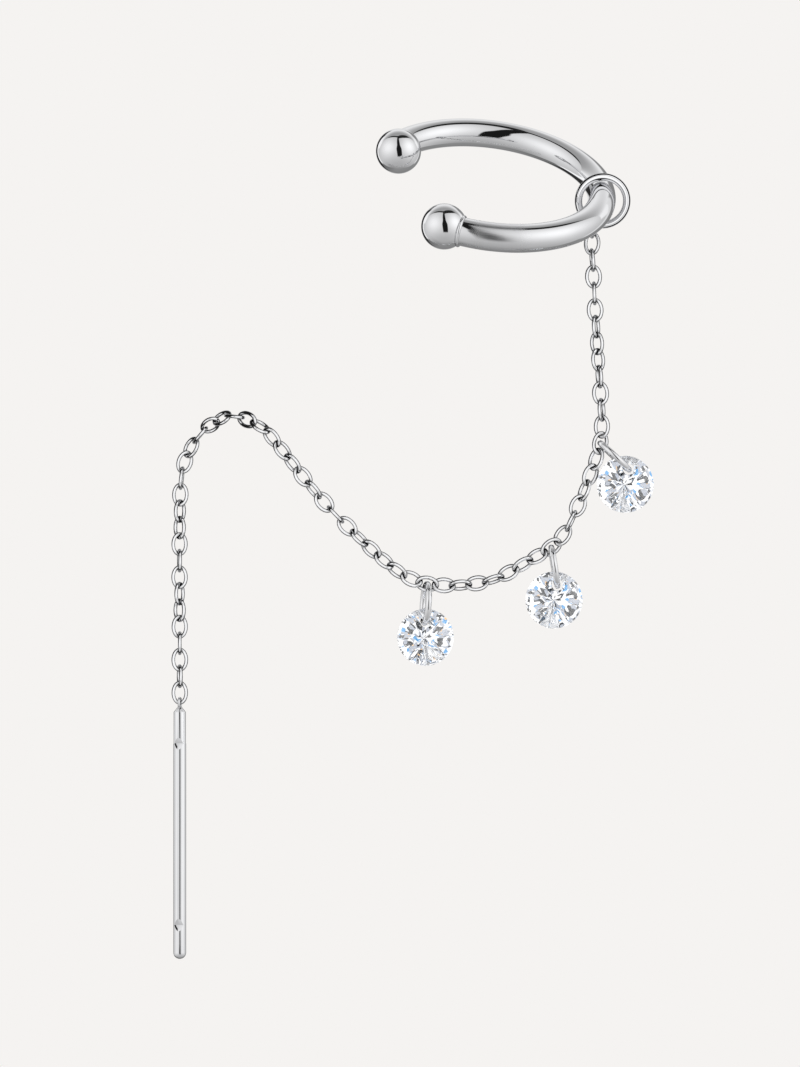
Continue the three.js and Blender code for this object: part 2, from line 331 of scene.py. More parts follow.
STONE_IOR = 2.15
STONE_ROUGHNESS = 0.01
HAZE_SCALE = 1800
HAZE_RISES = (0.5, 0.8)
HAZE_ROUGHNESS = 0.02


def add_node(tree, kind, inputs=None, **settings):
    node = tree.nodes.new(kind)
    for key, value in settings.items():
        setattr(node, key, value)
    for key, value in (inputs or {}).items():
        if isinstance(value, bpy.types.NodeSocket):
            tree.links.new(value, node.inputs[key])
        else:
            node.inputs[key].default_value = value
    return node


def calc(tree, operation, *values):
    node = add_node(tree, "ShaderNodeMath", dict(enumerate(values)), operation=operation)
    return node.outputs[0]


def smooth_step(tree, value, start, end):
    """0 before start, 1 after end, and a smooth rise between them."""
    inputs = {"Value": value, "From Min": start, "From Max": end}
    node = add_node(tree, "ShaderNodeMapRange", inputs, interpolation_type="SMOOTHSTEP")
    return node.outputs[0]


def inside(tree, value, low, high, soft):
    """1 between low and high, with soft edges."""
    rise = smooth_step(tree, value, low - soft / 2, low + soft / 2)
    fall = smooth_step(tree, value, high + soft / 2, high - soft / 2)
    return all_of(tree, rise, fall)


def within(tree, distance, reach, soft):
    """1 where distance is less than reach, with a soft edge."""
    return smooth_step(tree, calc(tree, "SUBTRACT", distance, reach), soft, -soft)


def all_of(tree, mask, *others):
    """Product of masks: 1 only where all of them are 1."""
    for other in others:
        mask = calc(tree, "MULTIPLY", mask, other)
    return mask


def blend(tree, mask, a, b):
    """Value a where mask is 0 and b where it is 1."""
    node = add_node(tree, "ShaderNodeMix", {0: mask, 2: a, 3: b}, data_type="FLOAT")
    return node.outputs[0]


def blend_colours(tree, mask, a, b):
    node = add_node(tree, "ShaderNodeMix", {0: mask, 6: a, 7: b}, data_type="RGBA")
    return node.outputs[2]


def blend_shaders(tree, mask, a, b):
    node = add_node(tree, "ShaderNodeMixShader", {0: mask, 1: a, 2: b})
    return node.outputs[0]


def new_material(name):
    material = bpy.data.materials.new(name)
    material.use_nodes = True
    tree = material.node_tree
    tree.nodes.clear()
    output = tree.nodes.new("ShaderNodeOutputMaterial")
    return material, tree, output


def noise(tree, coords, scale, detail=2.0, stretch=(1, 1, 1)):
    mapping = add_node(tree, "ShaderNodeMapping", {"Vector": coords, "Scale": stretch})
    inputs = {"Vector": mapping.outputs[0], "Scale": scale, "Detail": detail}
    return add_node(tree, "ShaderNodeTexNoise", inputs).outputs["Fac"]


def steel(name, greys, rough, smudge, grain, wave, edge, painted_shade_reach=0, satin=0):
    """Bright steel. greys are its colours where it is clean and where a film dulls it, rough is its lowest
    roughness and smudge what handling adds. grain is the strength of the polishing marks and wave that of the
    slow unevenness of drawn wire. edge is how bright it stays at grazing angles, and the reach of the painted
    shade is how near other metal must stand for shade to be painted into the colour, in the gaps between
    parts. satin is the roughness added beside the near ball, where the wire is less polished."""
    material, tree, output = new_material(name)
    coords = tree.nodes.new("ShaderNodeTexCoord").outputs["Object"]
    clean, dull = ((*grey, 1) for grey in greys)
    colour = blend_colours(tree, noise(tree, coords, FILM_SCALE, detail=3.0), clean, dull)
    # Painted shade: the colour darkens towards the shade colour where other metal stands near, where shade
    # falls between parts
    if painted_shade_reach:
        inputs = {"Distance": painted_shade_reach * MM}
        air = add_node(tree, "ShaderNodeAmbientOcclusion", inputs, samples=PAINTED_SHADE_SAMPLES).outputs["AO"]
        colour = blend_colours(tree, smooth_step(tree, air, *PAINTED_SHADE_CLEARS), PAINTED_SHADE_COLOUR, colour)
    smudges = smooth_step(tree, noise(tree, coords, SMUDGE_SCALE, detail=4.0), *SMUDGE_RISES)
    roughness = calc(tree, "MULTIPLY_ADD", smudges, smudge, rough)
    if satin:
        x, y, _ = add_node(tree, "ShaderNodeSeparateXYZ", {0: coords}).outputs
        along = inside(tree, x, SATIN_FROM * MM, SATIN_TO * MM, SATIN_SOFT * MM)
        near = smooth_step(tree, y, NEAR_ARM_FROM * MM, NEAR_ARM_TO * MM)
        roughness = calc(tree, "MULTIPLY_ADD", all_of(tree, along, near), satin, roughness)
    marks = noise(tree, coords, MARK_SCALE, stretch=MARK_STRETCH)
    unevenness = noise(tree, coords, WAVE_SCALE, detail=1.0)
    inputs = {"Strength": wave, "Distance": WAVE_HEIGHT * MM, "Height": unevenness}
    uneven = add_node(tree, "ShaderNodeBump", inputs).outputs[0]
    inputs = {"Strength": grain, "Distance": MARK_HEIGHT * MM, "Height": marks, "Normal": uneven}
    normal = add_node(tree, "ShaderNodeBump", inputs).outputs[0]
    shader = add_node(tree, "ShaderNodeBsdfPrincipled", {
        "Base Color": colour,
        "Metallic": 1.0,
        "Roughness": roughness,
        "Specular Tint": (edge, edge, edge, 1),
        "Normal": normal,
    })
    tree.links.new(shader.outputs[0], output.inputs[0])
    return material


def clear_stone():
    """Clear cut stone with a slight haze in places."""
    material, tree, output = new_material("clear_stone")
    coords = tree.nodes.new("ShaderNodeTexCoord").outputs["Object"]
    haze = smooth_step(tree, noise(tree, coords, HAZE_SCALE, detail=3.0), *HAZE_RISES)
    shader = add_node(tree, "ShaderNodeBsdfPrincipled", {
        "Base Color": STONE_COLOUR,
        "Roughness": calc(tree, "MULTIPLY_ADD", haze, HAZE_ROUGHNESS, STONE_ROUGHNESS),
        "IOR": STONE_IOR,
        "Transmission Weight": 1.0,
    })
    tree.links.new(shader.outputs[0], output.inputs[0])
    return material


# Cuff

hoop_turn = (turned("Y", HOOP_ROLL) @ turned("X", HOOP_TILT)).to_3x3()
hoop_u = hoop_turn @ X_AXIS
hoop_v = hoop_turn @ Y_AXIS
hoop_normal = hoop_turn @ Z_AXIS


def on_hoop(angle, radius=HOOP_RADIUS):
    return (hoop_u * cos(angle) + hoop_v * sin(angle)) * radius


def add_ball(bm, centre):
    """Ball with one pole to each side of the hoop's plane."""
    place = Matrix.Translation(centre) @ hoop_turn.to_4x4()
    bmesh.ops.create_uvsphere(
        bm, u_segments=BALL_SIDES, v_segments=BALL_BANDS, radius=BALL_DIAMETER / 2, matrix=place)


def make_lip():
    """Thin raised ring where the wire enters the ball that is nearer to the front."""
    from_ball = math.sqrt(BALL_DIAMETER ** 2 - HOOP_WIRE ** 2) / 2
    angle = HOOP_NEAR_END + math.degrees(from_ball / HOOP_RADIUS)
    outward = on_hoop(angle, 1)
    along = on_hoop(angle + 90, 1)
    place = Matrix((outward, along.cross(outward), along)).transposed().to_4x4()
    place.translation = on_hoop(angle)
    bm = bmesh.new()
    add_ring(bm, place, HOOP_WIRE / 2, LIP_WIRE / 2, RING_SIDES, RING_STEPS)
    return to_object(bm, "lip")


def make_cuff(material):
    bm = bmesh.new()
    stations = []
    for i in range(HOOP_STEPS + 1):
        angle = HOOP_NEAR_END + (HOOP_FAR_END - HOOP_NEAR_END) * i / HOOP_STEPS
        stations.append((on_hoop(angle), on_hoop(angle, 1)))
    add_tube(bm, stations, hoop_normal, HOOP_WIRE / 2, HOOP_SIDES, False)
    cuff = to_object(bm, "ear_cuff_hoop")
    for centre in (on_hoop(HOOP_NEAR_END), on_hoop(HOOP_FAR_END, HOOP_RADIUS - FAR_BALL_INSET)):
        bm = bmesh.new()
        add_ball(bm, centre)
        combine(cuff, to_object(bm, "ball"), "UNION")
    combine(cuff, make_lip(), "UNION")
    return to_piece(cuff, "cuff", material)


# Jump ring on the cuff

cuff_ring_radius = (CUFF_RING_DIAMETER - CUFF_RING_WIRE) / 2
cuff_ring_corner = corner_radius(CUFF_RING_WIRE / 2, FACETED_RING_SIDES)
cuff_ring_tilt = turned("X", CUFF_RING_TILT).to_3x3()


def in_cuff_ring(angle):
    """Direction in the ring's plane: down at 0, and leaning to the right as the angle grows."""
    return cuff_ring_tilt @ Vector((sin(angle), 0, -cos(angle)))


def cuff_ring_centre():
    """Middle of the ring where it hangs on the hoop. The ring crosses the hoop's wire at an angle, and slant
    is how much wider that makes the wire in the ring's plane."""
    away = in_cuff_ring(CUFF_RING_LEAN)
    normal = cuff_ring_tilt @ Y_AXIS
    wire = on_hoop(CUFF_RING_AT + 90, 1)
    slant = math.hypot(1, wire.dot(away) / wire.dot(normal))
    contact = corner_radius(HOOP_WIRE / 2, FACETED_HOOP_SIDES) + cuff_ring_corner + SEAT_GAP
    return on_hoop(CUFF_RING_AT) + away * (cuff_ring_radius - contact * slant)


def make_cuff_ring(material):
    bm = bmesh.new()
    place = Matrix.Translation(cuff_ring_centre()) @ turned("X", 90 + CUFF_RING_TILT)
    add_ring(bm, place, cuff_ring_radius, CUFF_RING_WIRE / 2, RING_SIDES, RING_STEPS)
    return to_piece(to_object(bm, "cuff_jump_ring"), "cuff_ring", material)


# Chain

last_row = len(ROUTE) - 1


def spline_slopes(p0, p1, p2, p3):
    """Slopes of a centripetal Catmull-Rom span at its two ends."""
    d0, d1, d2 = ((b - a).length ** 0.5 for a, b in ((p0, p1), (p1, p2), (p2, p3)))
    start = ((p1 - p0) / d0 - (p2 - p0) / (d0 + d1) + (p2 - p1) / d1) * d1
    end = ((p2 - p1) / d1 - (p3 - p1) / (d1 + d2) + (p3 - p2) / d2) * d1
    return start, end


def route_spans():
    """The route as spans of (start, end, slope at the start, slope at the end)."""
    points = [Vector(row[:3]) for row in ROUTE]
    points = [2 * points[0] - points[1], *points, 2 * points[-1] - points[-2]]
    return [(p[1], p[2], *spline_slopes(*p)) for p in zip(points, points[1:], points[2:], points[3:])]


spans = route_spans()


def route_point(row):
    """Place on the route. Past its last row the route goes on straight down."""
    index = min(int(row), last_row - 1)
    t = min(row - index, 1)
    a, b, start, end = spans[index]
    point = a + start * t + (3 * (b - a) - 2 * start - end) * t ** 2 + (2 * (a - b) + start + end) * t ** 3
    point.z -= max(row - last_row, 0)
    return point


def link_roll(row, link):
    """Roll of a link at a row of the route. A link that carries a stone has a roll of its own."""
    for hanger in HANGERS:
        if hanger["link"] == link:
            return hanger["roll"]
    column = EVEN_ROLL_COLUMN if link % 2 == 0 else ODD_ROLL_COLUMN
    before = min(int(row), last_row - 1)
    share = min(row - before, 1)
    return ROUTE[before][column] * (1 - share) + ROUTE[before + 1][column] * share


def lay_links():
    """Place of each link: its own X runs along the chain and its Y across its oval."""
    hang = cuff_ring_corner + FIRST_LINK_SEAT - LINK_BITE / 2
    start = cuff_ring_centre() + in_cuff_ring(-CUFF_RING_LEAN) * cuff_ring_radius + Z_AXIS * hang
    places = []
    row = 0
    held = route_point(0)
    for link in range(LINK_COUNT):
        first_row = row
        while (route_point(row) - held).length < LINK_PITCH:
            row += ROUTE_STEP
        along = (route_point(row) - held).normalized()
        across = Y_AXIS.cross(along).normalized()
        across.rotate(turned(along, link_roll((first_row + row) / 2, link)).to_3x3())
        place = Matrix((along, across, along.cross(across))).transposed().to_4x4()
        place.translation = held + along * LINK_PITCH / 2 + start
        places.append(place)
        held = held + along * LINK_PITCH
    return places


def add_link(bm, place, width):
    """Oval link in the XY plane of place, its length along X."""
    turn = place.to_3x3()
    a = (LINK_LENGTH - LINK_WIRE) / 2
    b = (width - LINK_WIRE) / 2
    stations = []
    for i in range(LINK_STEPS):
        angle = 360 * i / LINK_STEPS
        centre = place @ Vector((a * cos(angle), b * sin(angle), 0))
        outward = (turn @ Vector((b * cos(angle), a * sin(angle), 0))).normalized()
        stations.append((centre, outward))
    add_tube(bm, stations, turn @ Z_AXIS, LINK_WIRE / 2, LINK_SIDES, True)


def make_chain(places, material):
    bm = bmesh.new()
    for i, place in enumerate(places):
        add_link(bm, place, FIRST_LINK_WIDTH if i == 0 else LINK_WIDTH)
    return to_piece(to_object(bm, "cable_chain"), "chain", material)


# Stones on their rings

def facet_planes():
    """Every facet of a round brilliant as (point, outward normal). The table faces -Y."""
    radius = STONE_DIAMETER / 2
    girdle = STONE_GIRDLE / 2
    half_step = 180 / MAIN_FACETS

    def at(r, angle, depth):
        return Vector((r * cos(angle), depth, r * sin(angle)))

    def plane(a, b, c):
        normal = (b - a).cross(c - a).normalized()
        return a, normal if normal.dot(a) > 0 else -normal

    def crown_depth(r, angle):
        return -girdle - (radius - r * cos(angle)) * tan(CROWN_ANGLE)

    def pavilion_depth(r, angle):
        return girdle + (radius - r * cos(angle)) * tan(PAVILION_ANGLE)

    table_radius = radius * STONE_TABLE_SHARE
    star_radius = radius * STAR_SHARE
    lower_radius = radius * LOWER_HALF_SHARE
    table_depth = crown_depth(table_radius, 0)
    planes = [(Vector((0, table_depth, 0)), -Y_AXIS)]
    for i in range(MAIN_FACETS):
        main = i * 2 * half_step
        between = main + half_step
        following = main + 2 * half_step
        star = at(star_radius, between, crown_depth(star_radius, half_step))
        lower = at(lower_radius, between, pavilion_depth(lower_radius, half_step))
        corners = [at(table_radius, angle, table_depth) for angle in (main, following)]
        top = [at(radius, angle, -girdle) for angle in (main, between, following)]
        bottom = [at(radius, angle, girdle) for angle in (main, between, following)]
        slope = Vector((cos(main), 0, sin(main)))
        planes.append((top[0], slope * sin(CROWN_ANGLE) - Y_AXIS * cos(CROWN_ANGLE)))
        planes.append((bottom[0], slope * sin(PAVILION_ANGLE) + Y_AXIS * cos(PAVILION_ANGLE)))
        planes.append(plane(corners[0], corners[1], star))
        for j in (0, 1):
            planes.append(plane(star, top[j], top[j + 1]))
            planes.append(plane(lower, bottom[j], bottom[j + 1]))
    return planes


def make_brilliant(name):
    """Brilliant cut from a cylinder, facet by facet, and drilled."""
    bm = bmesh.new()
    add_cylinder(bm, turned("X", 90), STONE_DIAMETER / 2, 2 * STONE_DIAMETER, GIRDLE_STEPS)
    for point, normal in facet_planes():
        parts = bm.verts[:] + bm.edges[:] + bm.faces[:]
        cut = bmesh.ops.bisect_plane(
            bm, geom=parts, dist=CUT_TOLERANCE, plane_co=point, plane_no=normal, clear_outer=True)
        rim = [part for part in cut["geom_cut"] if isinstance(part, bmesh.types.BMEdge)]
        bmesh.ops.edgeloop_fill(bm, edges=rim)
    stone = to_object(bm, name, smooth=False)
    bm = bmesh.new()
    place = Matrix.Translation((0, 0, HOLE_FROM_CENTRE)) @ turned("X", 90)
    add_cylinder(bm, place, STONE_RING_WIRE / 2 + HOLE_PLAY, 2 * STONE_DIAMETER, HOLE_SIDES)
    combine(stone, to_object(bm, "drill"), "DIFFERENCE")
    return stone


def make_hanger(link, hanger, number, ring_material, stone_material):
    """Jump ring through a link, and the stone that hangs on it."""
    ring_radius = (STONE_RING_DIAMETER - STONE_RING_WIRE) / 2
    lean = Matrix.Translation(link.translation) @ turned("Z", hanger["turn"])
    lean = lean @ turned("Y", -hanger["ring_lean"])
    bm = bmesh.new()
    hung = Matrix.Translation((0, 0, -ring_radius)) @ turned("Y", 90)
    add_ring(bm, lean @ hung, ring_radius, STONE_RING_WIRE / 2, RING_SIDES, RING_STEPS)
    ring = to_object(bm, f"stone_jump_ring_{number}")
    to_piece(ring, f"stone_ring_{number}", ring_material)

    hole_middle = (STONE_DIAMETER / 2 - HOLE_FROM_CENTRE) * (tan(PAVILION_ANGLE) - tan(CROWN_ANGLE)) / 2
    seat = Matrix.Translation((0, -hole_middle, STONE_RING_SEAT - 2 * ring_radius))
    upright = turned("Y", hanger["ring_lean"] - hanger["stone_lean"])
    below = Matrix.Translation((0, 0, -HOLE_FROM_CENTRE))
    stone = make_brilliant(f"brilliant_{number}")
    to_piece(stone, f"stone_{number}", stone_material, lean @ seat @ upright @ below)


# Threader bar

OCTAHEDRON = ((1, 0, 0), (-1, 0, 0), (0, 1, 0), (0, -1, 0), (0, 0, 1), (0, 0, -1))


def bar_profile():
    """Outline of the rod as (radius, z), from its round end up to its point, with softened edges."""
    radius = BAR_DIAMETER / 2
    top_radius = BAR_TOP_DIAMETER / 2
    point_radius = BAR_POINT_DIAMETER / 2
    profile = [(0, -BAR_LENGTH)]
    for i in range(1, END_STEPS + 1):
        angle = 90 * i / END_STEPS
        profile.append((radius * sin(angle), radius - BAR_LENGTH - radius * cos(angle)))
    step = radius - top_radius
    profile.append((radius, -BAR_TOP_LENGTH - step - BAR_SOFTENING))
    profile.append((radius - BAR_SOFTENING / 4, -BAR_TOP_LENGTH - step))
    profile.append((top_radius, -BAR_TOP_LENGTH))
    profile.append((top_radius, -BAR_POINT_LENGTH - BAR_SOFTENING))
    profile.append((top_radius - BAR_SOFTENING / 3, -BAR_POINT_LENGTH))
    profile.append((point_radius, -BAR_SOFTENING))
    profile.append((point_radius - BAR_SOFTENING, 0))
    profile.append((0, 0))
    return profile


def press_dent(bar, side, z):
    """Dents one side of the bar with a tool of six corners, centred on the bar's skin."""
    bm = bmesh.new()
    corners = []
    skin = side * BAR_DIAMETER / 2
    for x, y, up in OCTAHEDRON:
        corner = (skin + x * CRIMP_DEPTH, y * CRIMP_TOOL_WIDTH / 2, z + up * CRIMP_LENGTH / 2)
        corners.append(bm.verts.new(corner))
    bmesh.ops.convex_hull(bm, input=corners)
    combine(bar, to_object(bm, "dent", smooth=False), "DIFFERENCE")


def make_bar(last_link, material):
    bm = bmesh.new()
    add_lathe(bm, bar_profile(), BAR_SIDES)
    bar = to_object(bm, "threader_rod")

    eye_corner = corner_radius(EYE_WIRE / 2, FACETED_EYE_SIDES)
    link_corner = corner_radius(LINK_WIRE / 2, FACETED_LINK_SIDES)
    eye_radius = link_corner + SEAT_GAP + eye_corner
    bm = bmesh.new()
    place = Matrix.Translation((0, 0, eye_radius - EYE_WIRE / 2)) @ turned("X", 90)
    add_ring(bm, place, eye_radius, EYE_WIRE / 2, EYE_SIDES, EYE_STEPS)
    combine(bar, to_object(bm, "eye"), "UNION")

    for z in (-CRIMP_FROM_TOP, CRIMP_FROM_END - BAR_LENGTH):
        for side in (-1, 1):
            press_dent(bar, side, z)

    along = last_link.to_3x3() @ X_AXIS
    across = last_link.to_3x3() @ Y_AXIS
    hold = last_link.translation + along * (FACETED_LINK_LENGTH - LINK_WIRE) / 2
    hold = hold + Z_AXIS * (EYE_WIRE / 2 - eye_radius)
    facing = Matrix.Rotation(math.atan2(across.y, across.x) + math.pi / 2, 4, "Z")
    return to_piece(bar, "threader_bar", material, Matrix.Translation(hold) @ facing)


# Camera: level, in front of the piece, at the photograph's viewing angle
CAMERA_PLACE = (-4.774, -300, -18.368)
CAMERA_LENS = 192.3
CAMERA_SENSOR = 36


def make_camera():
    data = bpy.data.cameras.new("camera")
    data.sensor_width = CAMERA_SENSOR
    data.lens = CAMERA_LENS
    camera = bpy.data.objects.new("camera", data)
    camera.location = Vector(CAMERA_PLACE) * MM
    camera.rotation_euler = (math.radians(90), 0, 0)
    bpy.context.scene.collection.objects.link(camera)
    bpy.context.scene.camera = camera


# Studio: a pale room whose light the steel and the stones reflect, and a pale floor below the piece. Levels
# are brightnesses. Azimuth is 0 on the camera's side and grows to the right, and elevation is 0 at eye level.
# Places overhead are given on a ceiling one unit up, across to the right and ahead away from the camera. A
# pair of values is where a smooth change starts and where it ends. Three values are from, to and softness.
BACKDROP = (0.913, 0.896, 0.88, 1)
FLOOR_COLOUR = (0.95, 0.94, 0.925, 1)
FLOOR_DEPTH = 80
FLOOR_RADIUS = 340
FLOOR_FADE = 120

# Lower half, ceiling and the bright wall behind the piece
LOW_LEVEL = 0.5
LOW_LEVEL_BEHIND = 0.31
LOW_LEVEL_BEHIND_LEFT = 0.2
BEHIND_BY_Y = (-0.2, 0.4)
LEFT_BY_X = (-0.1, -0.6)
CEILING_LEVEL = 0.4
CEILING_LEVEL_BEHIND = 1.12
CEILING_BRIGHTENS = (0.1, 0.95)
LOW_TO_CEILING = (-35, 15)
LEAST_RISE = 0.001

# Two soft lights in front, which end overhead at a line bent about the middle
LEFT_LIGHT = {"centre": (-55, 14), "reach": (46, 38), "peak": 1.12, "edge": 0.66}
RIGHT_LIGHT = {"centre": (60, 18), "reach": (42, 38), "peak": 1.25, "edge": 0.64}
LEFT_LIGHT_BAND = (-128, 4, 5)
RIGHT_LIGHT_BAND = (4, 128, 5)
LIGHTS_FOOT = (-84, -22)
LINE_SLOPE = 0.5
LINE_START = -0.33
LINE_SOFT = 0.03
LINE_HEIGHT = (12, 6)

# Bright rims and dark edges beside the piece, alike in place and unlike in level on the left and on the right
SIDE_BANDS = [
    {"away": (127, 135, 3), "right": 0.95, "left": 1.3},
    {"away": (136, 166, 4), "right": 0.34, "left": 0.04},
]
SIDE_BANDS_HEIGHT = (-28, 40, 10)
SIDE_CHANGES = (0.1, -0.1)

# Dark gap between the lights, which moves to the left as it rises, and the dark strip overhead that it meets
GAP_MIDDLE = 3.5
GAP_DRIFT = -0.13
GAP_HALF_WIDTH = 13
GAP_HALF_WIDTH_HIGH = 8
GAP_NARROWS = (5, 30)
GAP_SOFT = 1.5
GAP_FOOT = (-36, -28)
GAP_LEVEL = 0.012
STRIP_HALF_WIDTH_LEFT = 0.09
STRIP_HALF_WIDTH_RIGHT = 0.19
STRIP_HALF_WIDTH_TIP = 0.03
STRIP_WIDENS = (-0.12, 0.08)
STRIP_TAPERS = (0.4, 0.95)
STRIP_SOFT = 0.025
STRIP_ENDS = (1.15, 0.6)
STRIP_LEVEL = 0.02

# What the perfectly smooth wires reflect: bright before and behind them, with a grey ring before them, and
# dark all round their waist. Ring and waist are placed by y, and the waist starts nearer to the front at the
# upper left.
SMOOTH_LEVEL_LOW = 0.8
SMOOTH_LEVEL_HIGH = 1.25
SMOOTH_RISES = (-60, -10)
FRONT_RING = (-0.84, -0.7, 0.08)
FRONT_RING_LEVEL = 0.5
WAIST_FROM = -0.32
WAIST_FROM_UPPER_LEFT = -0.6
UPPER_LEFT = (0.5, 1.1)
WAIST_SOFT = 0.08
WAIST_ENDS = (0.72, 0.6)
WAIST_LEVEL = 0.015

# What the stones gather: panels, each of one colour, mostly bright, some dark and a few gleaming. A colour
# goes to the share of them between its own start and the next one's.
STONE_BOUNCES = 32
SPARKLE_SCALE = 6.4
SPARKLE_STRENGTH = 1.3
SPARKLES = [
    (0.0, (0.008, 0.01, 0.012, 1)),
    (0.2, (0.12, 0.145, 0.19, 1)),
    (0.243, (0.08, 0.36, 0.72, 1)),
    (0.263, (1.0, 0.62, 0.26, 1)),
    (0.2755, (0.42, 0.45, 0.51, 1)),
    (0.42, (1.0, 1.0, 1.0, 1)),
]


def look_around(tree):
    """Direction of a ray, as the values that the studio is painted with."""
    direction = tree.nodes.new("ShaderNodeTexCoord").outputs["Generated"]
    x, y, z = add_node(tree, "ShaderNodeSeparateXYZ", {0: direction}).outputs
    to_camera = calc(tree, "MULTIPLY", y, -1.0)
    rise = calc(tree, "MAXIMUM", z, LEAST_RISE)
    across = calc(tree, "DIVIDE", x, rise)
    return SimpleNamespace(
        direction=direction,
        x=x,
        y=y,
        z=z,
        azimuth=calc(tree, "MULTIPLY", calc(tree, "ARCTAN2", x, to_camera), math.degrees(1)),
        elevation=calc(tree, "MULTIPLY", calc(tree, "ARCSINE", z), math.degrees(1)),
        across=across,
        off_middle=calc(tree, "ABSOLUTE", across),
        ahead=calc(tree, "DIVIDE", y, rise),
    )


def shell(tree, ray):
    """Level of the lower half, the ceiling and the wall behind the piece."""
    behind = smooth_step(tree, ray.y, *BEHIND_BY_Y)
    behind_left = all_of(tree, behind, smooth_step(tree, ray.x, *LEFT_BY_X))
    low = blend(tree, behind, LOW_LEVEL, LOW_LEVEL_BEHIND)
    low = blend(tree, behind_left, low, LOW_LEVEL_BEHIND_LEFT)
    far = smooth_step(tree, ray.ahead, *CEILING_BRIGHTENS)
    ceiling = blend(tree, far, CEILING_LEVEL, CEILING_LEVEL_BEHIND)
    return blend(tree, smooth_step(tree, ray.elevation, *LOW_TO_CEILING), low, ceiling)


def lights_end(tree, ray):
    """How far past the line that ends the lights a ray goes, and the mask of all that is under the line."""
    line = calc(tree, "MULTIPLY_ADD", ray.off_middle, LINE_SLOPE, LINE_START)
    past_line = calc(tree, "SUBTRACT", ray.ahead, line)
    before_line = smooth_step(tree, past_line, LINE_SOFT, -LINE_SOFT)
    below = smooth_step(tree, ray.elevation, *LINE_HEIGHT)
    return past_line, calc(tree, "MAXIMUM", before_line, below)


def softbox(tree, ray, centre, reach, peak, edge):
    """Level of a soft light that falls off from its centre, given as (azimuth, elevation)."""
    across = calc(tree, "DIVIDE", calc(tree, "SUBTRACT", ray.azimuth, centre[0]), reach[0])
    up = calc(tree, "DIVIDE", calc(tree, "SUBTRACT", ray.elevation, centre[1]), reach[1])
    distance = calc(tree, "ADD", calc(tree, "POWER", across, 2.0), calc(tree, "POWER", up, 2.0))
    glow = calc(tree, "EXPONENT", calc(tree, "MULTIPLY", distance, -1.0))
    return calc(tree, "MULTIPLY_ADD", glow, peak - edge, edge)


def add_lights(tree, ray, level, under_line):
    height = all_of(tree, under_line, smooth_step(tree, ray.elevation, *LIGHTS_FOOT))
    for band, light in ((LEFT_LIGHT_BAND, LEFT_LIGHT), (RIGHT_LIGHT_BAND, RIGHT_LIGHT)):
        mask = all_of(tree, inside(tree, ray.azimuth, *band), height)
        level = blend(tree, mask, level, softbox(tree, ray, **light))
    return level


def add_side_bands(tree, ray, level):
    away = calc(tree, "ABSOLUTE", ray.azimuth)
    at_left = smooth_step(tree, ray.x, *SIDE_CHANGES)
    height = inside(tree, ray.elevation, *SIDE_BANDS_HEIGHT)
    for band in SIDE_BANDS:
        mask = all_of(tree, inside(tree, away, *band["away"]), height)
        level = blend(tree, mask, level, blend(tree, at_left, band["right"], band["left"]))
    return level


def add_gap(tree, ray, level, under_line):
    middle = calc(tree, "MULTIPLY_ADD", ray.elevation, GAP_DRIFT, GAP_MIDDLE)
    off_gap = calc(tree, "ABSOLUTE", calc(tree, "SUBTRACT", ray.azimuth, middle))
    high = smooth_step(tree, ray.elevation, *GAP_NARROWS)
    half_width = blend(tree, high, GAP_HALF_WIDTH, GAP_HALF_WIDTH_HIGH)
    gap = within(tree, off_gap, half_width, GAP_SOFT)
    gap = all_of(tree, gap, smooth_step(tree, ray.elevation, *GAP_FOOT), under_line)
    return blend(tree, gap, level, GAP_LEVEL)


def add_strip(tree, ray, level, past_line):
    at_right = smooth_step(tree, ray.across, *STRIP_WIDENS)
    half_width = blend(tree, at_right, STRIP_HALF_WIDTH_LEFT, STRIP_HALF_WIDTH_RIGHT)
    at_tip = smooth_step(tree, ray.off_middle, *STRIP_TAPERS)
    half_width = blend(tree, at_tip, half_width, STRIP_HALF_WIDTH_TIP)
    strip = within(tree, calc(tree, "ABSOLUTE", past_line), half_width, STRIP_SOFT)
    strip = all_of(tree, strip, smooth_step(tree, ray.off_middle, *STRIP_ENDS))
    return blend(tree, strip, level, STRIP_LEVEL)


def smooth_surroundings(tree, ray):
    """Level that the perfectly smooth wires reflect."""
    high = smooth_step(tree, ray.elevation, *SMOOTH_RISES)
    level = blend(tree, high, SMOOTH_LEVEL_LOW, SMOOTH_LEVEL_HIGH)
    level = blend(tree, inside(tree, ray.y, *FRONT_RING), level, FRONT_RING_LEVEL)
    upper_left = smooth_step(tree, calc(tree, "SUBTRACT", ray.z, ray.x), *UPPER_LEFT)
    waist_from = blend(tree, upper_left, WAIST_FROM, WAIST_FROM_UPPER_LEFT)
    waist = smooth_step(tree, calc(tree, "SUBTRACT", ray.y, waist_from), -WAIST_SOFT, WAIST_SOFT)
    waist = all_of(tree, waist, smooth_step(tree, ray.y, *WAIST_ENDS))
    return blend(tree, waist, level, WAIST_LEVEL)


def stone_surroundings(tree, ray):
    """Colour that the light inside the stones comes from."""
    cells = add_node(tree, "ShaderNodeTexVoronoi", {"Vector": ray.direction, "Scale": SPARKLE_SCALE})
    pick = add_node(tree, "ShaderNodeSeparateColor", {0: cells.outputs["Color"]}).outputs[0]
    sparkle = add_node(tree, "ShaderNodeValToRGB", {0: pick})
    ramp = sparkle.color_ramp
    ramp.interpolation = "CONSTANT"
    for _ in SPARKLES[2:]:
        ramp.elements.new(1)
    for stop, (start, colour) in zip(ramp.elements, SPARKLES):
        stop.position = start
        stop.color = colour
    return sparkle.outputs[0]


def background(tree, colour, strength=1.0):
    return add_node(tree, "ShaderNodeBackground", {"Color": colour, "Strength": strength}).outputs[0]


